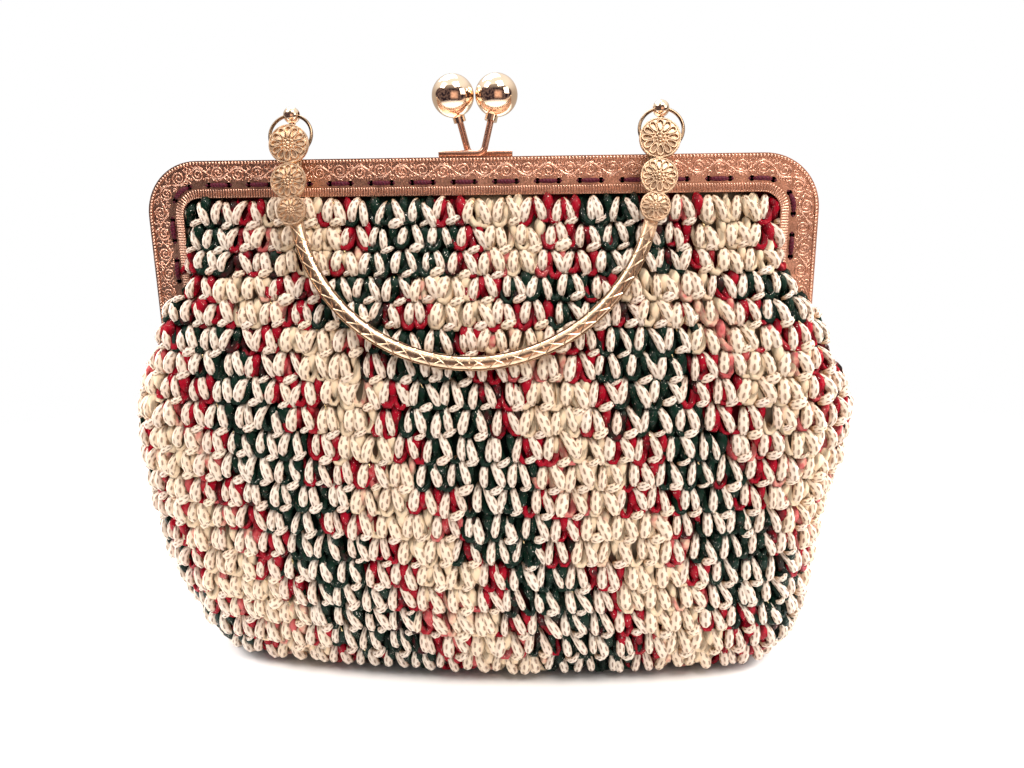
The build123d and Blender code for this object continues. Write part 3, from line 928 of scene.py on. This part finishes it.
def on_face(run, inset, reference, lift, back):
    """World points on the front or back face of the frame, lifted off it."""
    x, z = band_map(run, inset, reference)
    y = np.broadcast_to(-(FRAME_FACE + lift), x.shape)
    return turned(np.stack([x, y, z], axis=-1), back)


def out_of_face(back):
    """Direction out of the front or back face of the frame."""
    return turned(np.array((0, -1, 0)), back)


def arm_end(reference, low):
    """Run along the frame at which its arm reaches a height."""
    return CORNER_X + (CORNER - reference) * np.pi / 2 + CORNER_Z - low


def stem(run):
    """Inset of the vine's stem at a run along the frame."""
    return BAND_MIDDLE + VINE_SWING * np.sin(run * math.tau / VINE_LENGTH)


def coil(side, run, inset, turn, radius):
    """Runs and insets of a coil on the band, from its turns and radii."""
    return side * (run + radius * np.cos(turn)), inset + radius * np.sin(turn)


def scroll_paths(side, k, rng):
    """Kind, runs and insets of each line in half a wave of the vine."""
    way = 1 if k % 2 == 0 else -1
    half = VINE_LENGTH / 2
    run = k * half + np.linspace(0, 1, 10) * half
    yield "stem", (side * run, stem(run))
    centre = k * half + half / 2
    t = np.linspace(0, 1, 24)
    turn = way * (np.pi * 0.75 - t * 3.9 * np.pi)
    hub = BAND_MIDDLE - way * 0.25 * MM
    yield "spiral", coil(side, centre, hub, turn, (2.30 - 1.95 * t) * MM)
    t = np.linspace(0, 1, 10)
    hub = BAND_MIDDLE - way * 1.75 * MM
    for lean in (-1, 1):
        turn = way * (-np.pi / 2) + lean * way * t * 1.7 * np.pi
        yield "curl", coil(side, centre + lean * 2.7 * MM, hub, turn, (0.95 - 0.65 * t) * MM)
    t = np.linspace(0, 1, 5)
    for spot in np.linspace(-2.8, 2.8, 7):
        run = centre + spot * MM
        rise = way * rng.uniform(0.6, 1.0)
        bend = rng.choice((-1.0, 1.0))
        yield "leaf", (side * (run + bend * t**2 * 0.9 * MM), stem(run) + rise * t * 1.3 * MM)
    stretch = np.array([-0.16, 0, 0.16]) * MM
    for _ in range(16):
        run = centre + rng.uniform(-3.2, 3.2) * MM
        inset = rng.uniform(1.5, 6.2) * MM
        yield "dot", (side * (run + stretch), np.full(3, inset))


def vine(back):
    """Raised scrolls, curls, leaves and dots of the frame's band."""
    rng = np.random.default_rng(5)
    groups = {kind: [] for kind in VINE_RADII}
    waves = int(arm_end(BAND_MIDDLE, TRIM_END[back]) / (VINE_LENGTH / 2))
    for side in (-1, 1):
        for k in range(waves):
            for kind, path in scroll_paths(side, k, rng):
                groups[kind].append(path)
    made = []
    for kind, paths in groups.items():
        runs, insets = np.array(paths).transpose(1, 0, 2)
        centres = on_face(runs, np.clip(insets, *BAND_EDGES), BAND_MIDDLE, 0.03 * MM, back)
        radii = np.full(runs.shape[1], VINE_RADII[kind])
        radii[0] *= 0.6
        radii[-1] *= 0.6
        made.append(lay_strands(kind, centres, out_of_face(back), radii, sides=5))
    return made


def ribs_and_beads(back):
    """Reeding of the inner rim and the row of beads on the outer edge."""
    outward = out_of_face(back)
    end = arm_end(REED_MIDDLE, TRIM_END[back] + 0.5 * MM)
    runs = np.arange(-end, end, REED_PITCH)
    insets = np.array(REED_INSETS) * MM
    centres = on_face(runs[:, None], insets[None, :], REED_MIDDLE, 0.40 * MM, back)
    ribs = lay_strands("rib", centres, outward, REED_RADII)
    end = arm_end(BEAD_INSET, TRIM_END[back])
    runs = np.arange(-end, end, BEAD_PITCH)[:, None]
    across = np.linspace(-0.34, 0.34, 4) * MM
    centres = on_face(runs + across * 0.5, BEAD_INSET + across, BEAD_INSET, 0.3 * MM, back)
    return [ribs, lay_strands("bead", centres, outward, BEAD_RADII)]


def stitches(back):
    """Running stitch: long strands outside and inside, bent into the holes."""
    holes = np.arange(-HOLES_EACH_SIDE, HOLES_EACH_SIDE)
    lift = np.array(STITCH_LIFT) * MM
    made = []
    for out in (True, False):
        if not out:
            lift = -SHEET - lift - 0.05 * MM
        chosen = holes[(holes % 2 != 0) == (out != back)]
        runs = (chosen[:, None] + np.array(STITCH_RUN)) * HOLE_PITCH
        centres = on_face(runs, HOLE_INSET, HOLE_INSET, lift, back)
        made.append(lay_strands("stitch", centres, out_of_face(back), STITCH_RADII, sides=8))
    return made


class HANDBAG_OT_frame_trim(bpy.types.Operator):
    """Adds the frame's scrolls, reeding, beads and sewing thread"""

    bl_idname = "handbag.frame_trim"
    bl_label = "Frame trim"

    def execute(self, context):
        bright = plated("rose_relief", tuple(settings().frame_metal), 0.20)
        thread = sewing_thread()
        for back in (False, True):
            for name, pieces, slot, material in (
                ("frame_scrolls", vine(back), "frame_metal", bright),
                ("frame_reeding", ribs_and_beads(back), "frame_metal", bright),
                ("sewing", stitches(back), "thread", thread),
            ):
                piece = joined(pieces, f"{SIDE[back]}_{name}", material)
                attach(piece, "back_half" if back else "bag")
                if slot == "thread":
                    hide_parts(f"{SIDE[back]}_stitching")
        return {"FINISHED"}


# ---- handle


def bow_points(turns, reach, lift):
    """Points of the bow in the handle's plane; reach is across it and lift off its middle."""
    radius = BOW_RADIUS + reach
    x = radius * np.cos(turns)
    y = radius * np.sin(turns) - BOW_DROP
    return np.stack(np.broadcast_arrays(x, y, BOW_OFFSET + lift), axis=-1)


def bow_half_width(turns):
    """Half the bow's width, a little more at its middle than at its ends."""
    return (1.95 + 0.25 * np.clip(-np.sin(turns), 0, 1)) * MM


def bow_pieces():
    """Oval bow with raised edges, crossing lines and dots."""
    outward = (0, 0, 1)
    turns = np.linspace(BOW_START, BOW_END, BOW_POINTS)
    widths = bow_half_width(turns)
    radii = widths / MM
    radii[0] = radii[-1] = radii[0] * 0.8
    centres = bow_points(turns, 0.0, 0.0)[None]
    made = [lay_strands("bow", centres, outward, radii, sides=16, flat=0.85)]
    for way in (-1, 1):
        lines = bow_points(turns, way * widths * 0.86, BOW_THICK * 0.52)[None]
        made.append(lay_strands("edge", lines, outward, np.full(BOW_POINTS, 0.3)))
    panel = BOW_PANEL / BOW_RADIUS
    middle = 1.5 * math.pi
    steps = np.linspace(0, 1, 7)
    crossings, dots = [], []
    for k in range(-14, 14):
        if not BOW_START + 0.14 < middle + (k + 0.5) * panel < BOW_END - 0.14:
            continue
        turns = middle + (k + steps) * panel
        for way in (-1, 1):
            reach = way * (steps - 0.5) * 1.5
            lift = BOW_THICK * 0.98 * np.sqrt(1 - np.clip(reach, -0.8, 0.8) ** 2)
            crossings.append(bow_points(turns, reach * bow_half_width(turns), lift))
        if k % 2 == 0:
            spot = middle + k * panel + np.array((-0.0045, 0.0, 0.0045))
            dots.append(bow_points(spot, 0.0, BOW_THICK))
    made.append(lay_strands("crossing", np.array(crossings), outward, np.full(7, 0.19), sides=5))
    made.append(lay_strands("dot", np.array(dots), outward, (0.25, 0.42, 0.25)))
    return made


def petal():
    """One petal one unit long, lying along X: a raised oval rim round a hollow."""
    piece = added(
        bpy.ops.mesh.primitive_torus_add,
        major_segments=16, minor_segments=6, major_radius=0.40, minor_radius=0.10,
    )
    edited(bpy.ops.transform.resize, value=(1.0, 0.52, 1.0))
    for vertex in piece.data.vertices:
        vertex.co.y *= 1.0 + 0.9 * vertex.co.x
    return piece


def flower_pieces(side, beyond, up, radius, first):
    """A round disc with a rim, copies of the first petal, and a dotted centre."""
    spot = Vector((side * (BOW_RADIUS + beyond * MM), up * MM, FLOWER_FRONT))
    size = radius * MM
    thick = FLOWER_FRONT - FLOWER_BACK
    disc = added(
        bpy.ops.mesh.primitive_cylinder_add,
        vertices=48, radius=size, depth=thick, location=spot - Vector((0, 0, thick / 2)),
    )
    edited(bpy.ops.mesh.bevel, offset=0.25 * MM, segments=2)
    rim = added(
        bpy.ops.mesh.primitive_torus_add,
        major_segments=48, minor_segments=6, major_radius=size - 0.28 * MM,
        minor_radius=0.27 * MM, location=spot,
    )
    made = [disc, rim]
    for k in range(PETALS):
        turn = k * math.tau / PETALS + math.pi / 2
        leaf = first.copy()
        leaf.data = first.data.copy()
        bpy.context.collection.objects.link(leaf)
        leaf.data.transform(
            Matrix.Translation(spot + Vector((0, 0, 0.02 * MM)))
            @ Matrix.Rotation(turn, 4, "Z")
            @ Matrix.Translation((size * 0.61, 0, 0))
            @ Matrix.Diagonal((size * 0.64, size * 0.64, size * 1.1, 1))
        )
        made.append(leaf)
    for k in range(CENTRE_DOTS + 1):
        turn = k * math.tau / CENTRE_DOTS
        reach, share = (0.0, 0.12) if k == CENTRE_DOTS else (size * 0.21, 0.075)
        place = Vector((reach * math.cos(turn), reach * math.sin(turn), 0.1 * MM))
        dot = added(
            bpy.ops.mesh.primitive_ico_sphere_add,
            subdivisions=2, radius=size * share, location=spot + place,
        )
        made.append(dot)
    return made


def eye_pieces(side):
    """Eye behind the top flower, with its stem."""
    eye = added(
        bpy.ops.mesh.primitive_torus_add,
        major_segments=24, minor_segments=10, major_radius=EYE_RADIUS, minor_radius=EYE_WIRE,
        location=(side * LUG_X, 0, 0), rotation=(0, math.pi / 2, 0),
    )
    post = added(
        bpy.ops.mesh.primitive_cylinder_add,
        vertices=16, radius=0.6 * MM, depth=1.3 * MM, location=(side * LUG_X, 0, 2.0 * MM),
    )
    return [eye, post]


class HANDBAG_OT_handle(bpy.types.Operator):
    """Builds the bow with its flowers and eyes"""

    bl_idname = "handbag.handle"
    bl_label = "Handle"

    def execute(self, context):
        gold = tuple(settings().gold)
        cast = plated("cast_gold", gold, 0.20, 0.10, patina=0.44, satin=140 * MM)
        first = petal()
        pieces = bow_pieces()
        for side in (-1, 1):
            pieces += eye_pieces(side)
            for beyond, up, radius in FLOWERS:
                pieces += flower_pieces(side, beyond, up, radius, first)
        bpy.data.objects.remove(first)
        piece = joined(pieces, "flower_bow_handle", cast)
        lean = Matrix.Rotation(math.pi / 2 - HANDLE_TILT, 4, "X")
        piece.data.transform(Matrix.Translation((0, PIVOT_Y, PIVOT_Z)) @ lean)
        finished(piece, "flower_bow_handle", cast, math.radians(40))
        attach(piece, "bow_handle")
        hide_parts("handle")
        return {"FINISHED"}


class HANDBAG_OT_metal(bpy.types.Operator):
    """Gives the frame, clasp, lugs and rings their plating"""

    bl_idname = "handbag.metal"
    bl_label = "Metal finishes"

    def execute(self, context):
        rose = tuple(settings().frame_metal)
        bright = tuple(c**0.75 for c in settings().gold)
        finishes = {
            "frame": plated("aged_rose_frame", shade(rose, 0.92), 0.26, patina=0.40, embossed_and_shaded_inside=True),
            "rivet": plated("rose_rivet", rose, 0.24),
            "lug": plated("polished_gold", bright, 0.05, 0.04),
            "clasp_rod": plated("copper_rod", (0.62, 0.36, 0.26), 0.16),
            "ring": plated("ring_wire", (0.24, 0.16, 0.10), 0.12),
        }
        finishes["clasp_ball"] = finishes["lug"]
        for name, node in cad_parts.items():
            kind = name.partition("_")[2]
            for slot in node.material_slots:
                slot.material = finishes.get(kind, slot.material)
        return {"FINISHED"}


# ---- studio


def mirrored_room(board):
    """What metal reflects: a bright room, with a dark oval patch where the viewer stands."""
    x, y, z = board.split(board.node("ShaderNodeTexCoord", output="Generated"))
    span = (x * 0.10 - y * 1.98 - z * 0.16 + 2.02).power(0.5)
    aside = ((x + 0.05) / span / 0.76).power(2.0)
    above = ((z - 0.14) / span / 0.38).power(2.0)
    viewer = 1.0 - (aside + above).step(0.90, 1.06)
    low = (1.0 - z.step(-0.35, 0.05)) * (0.0 - y).step(-0.2, 0.5)
    front = board.mix(x.step(-0.42, -0.05), (0.20, 0.13, 0.10), (1.25, 0.92, 0.76))
    high = board.mix(z.step(0.10, 0.80), (0.60, 0.52, 0.45), (1.30, 1.27, 1.22))
    room = board.mix(low * 0.85, high, front)
    clutter = board.noise(board.join(x, y, z), 5.0, 3.0).step(0.42, 0.62)
    inside = board.mix(clutter, (0.03, 0.020, 0.032), (0.22, 0.15, 0.14))
    warm = x.step(-0.20, 0.10) * (1.0 - x.step(0.35, 0.70)) * (1.0 - z.absolute().step(0.12, 0.45))
    inside = board.mix(warm * (clutter * 0.25 + 0.75), inside, (1.45, 0.88, 0.66))
    inside = board.mix(z.step(0.45, 0.75) * 0.8, inside, (0.52, 0.46, 0.42))
    return board.mix(viewer, room, inside), z


def studio_world():
    """White behind the bag, a soft even light on it, and a room in its reflections."""
    world = bpy.data.worlds.new("studio_world")
    bpy.context.scene.world = world
    board = Board(world)
    room, z = mirrored_room(board)
    soft = board.mix(z.step(-0.4, 0.9), (0.55, 0.46, 0.40), (1.0, 1.0, 1.0))
    mirrored, ambient, white = (
        board.node("ShaderNodeBackground", inputs=pair)
        for pair in ((room, 1.0), (soft, 0.33), ((1, 1, 1), 1.0))
    )
    glossy = board.node("ShaderNodeLightPath", output="Is Glossy Ray")
    camera = board.node("ShaderNodeLightPath", output="Is Camera Ray")
    lit = board.node("ShaderNodeMixShader", inputs=[glossy, ambient, mirrored])
    board.show(board.node("ShaderNodeMixShader", inputs=[camera, lit, white]), "World Output")


def studio_floor():
    """Pale floor that fades into the white behind it and keeps the bag's shadow."""
    floor = added(bpy.ops.mesh.primitive_circle_add, vertices=96, radius=1.6, fill_type="TRIFAN")
    floor.name = "studio_floor"
    board = material_board("studio_floor")
    x, y, _ = board.split(board.place())
    reach = (x * x + y * y).power(0.5)
    grain = board.noise(board.place(), 12.0)
    tone = board.mix(grain * 0.15, (0.93, 0.93, 0.93), (0.90, 0.90, 0.90))
    floor.data.materials.append(board.finish(base_color=tone, roughness=0.65))
    pale = Wire(board, board.shader.outputs[0])
    clear = board.node("ShaderNodeBsdfTransparent", output="BSDF")
    fade = board.node("ShaderNodeMixShader", inputs=[reach.step(0.16, 0.42), pale, clear])
    board.show(fade, "Material Output")


def studio_lights():
    """Large soft lamps: two keys, a fill, one from behind, and a window at each side."""
    for name, place, size, power, tint in (
        ("key_light", (0.20, -0.27, 0.68), 0.30, 3.6, (1.0, 0.95, 0.90)),
        ("left_key_light", (-0.42, -0.22, 0.66), 0.30, 1.5, (1.0, 0.96, 0.94)),
        ("fill_light", (0.60, -0.30, 0.40), 0.35, 1.3, (1.0, 0.93, 0.88)),
        ("top_light", (-0.15, 0.25, 0.70), 0.45, 5.0, (1.0, 1.0, 1.0)),
        ("left_window", (-0.46, 0.06, 0.22), 0.30, 3.2, (1.0, 0.96, 0.97)),
        ("right_window", (0.46, 0.06, 0.24), 0.30, 3.0, (1.0, 0.97, 0.97)),
    ):
        lamp = added(bpy.ops.object.light_add, type="AREA", location=place)
        lamp.name = name
        lamp.data.size = size
        lamp.data.energy = power
        lamp.data.color = tint
        lamp.visible_glossy = "window" not in name
        aim = Vector((0, 0, 0.09)) - Vector(place)
        lamp.rotation_euler = aim.to_track_quat("-Z", "Y").to_euler()


def studio_camera():
    """Camera where the photograph was taken from."""
    yaw, pitch, roll = (math.radians(v) for v in CAMERA_TURN)
    level = Vector((math.cos(yaw), math.sin(yaw), 0))
    flat = Vector((-math.sin(yaw), math.cos(yaw), 0)) * math.cos(pitch)
    ahead = flat + Vector((0, 0, -math.sin(pitch)))
    across = level * math.cos(roll) + level.cross(ahead) * math.sin(roll)
    upward = across.cross(ahead)
    camera = added(bpy.ops.object.camera_add, location=CAMERA_PLACE)
    camera.name = "photo_camera"
    camera.rotation_euler = Matrix((across, upward, -ahead)).transposed().to_euler()
    camera.data.sensor_width = CAMERA_SENSOR
    camera.data.lens = CAMERA_LENS
    bpy.context.scene.camera = camera


class HANDBAG_OT_studio(bpy.types.Operator):
    """Sets the world, the floor, the lights and the camera"""

    bl_idname = "handbag.studio"
    bl_label = "Studio"

    def execute(self, context):
        studio_world()
        studio_floor()
        studio_lights()
        studio_camera()
        bpy.context.scene.view_settings.view_transform = "Standard"
        return {"FINISHED"}


class HANDBAG_PT_panel(bpy.types.Panel):
    """Lists the settings and the steps"""

    bl_label = "Handbag"
    bl_idname = "HANDBAG_PT_panel"
    bl_space_type = "VIEW_3D"
    bl_region_type = "UI"
    bl_category = "Handbag"

    def draw(self, context):
        for name in HandbagSettings.__annotations__:
            self.layout.prop(context.scene.handbag, name)
        for step in STEPS:
            self.layout.operator(step.bl_idname)


STEPS = (
    HANDBAG_OT_crochet, HANDBAG_OT_backing, HANDBAG_OT_frame_trim, HANDBAG_OT_handle,
    HANDBAG_OT_metal, HANDBAG_OT_studio,
)
CLASSES = (HandbagSettings, *STEPS, HANDBAG_PT_panel)


def register():
    for made in CLASSES:
        bpy.utils.register_class(made)
    bpy.types.Scene.handbag = bpy.props.PointerProperty(type=HandbagSettings)


def unregister():
    del bpy.types.Scene.handbag
    for made in reversed(CLASSES):
        bpy.utils.unregister_class(made)


def main():
    register()
    bpy.ops.handbag.crochet()
    bpy.ops.handbag.backing()
    bpy.ops.handbag.frame_trim()
    bpy.ops.handbag.handle()
    bpy.ops.handbag.metal()
    bpy.ops.handbag.studio()


if __name__ == "__main__":
    main()
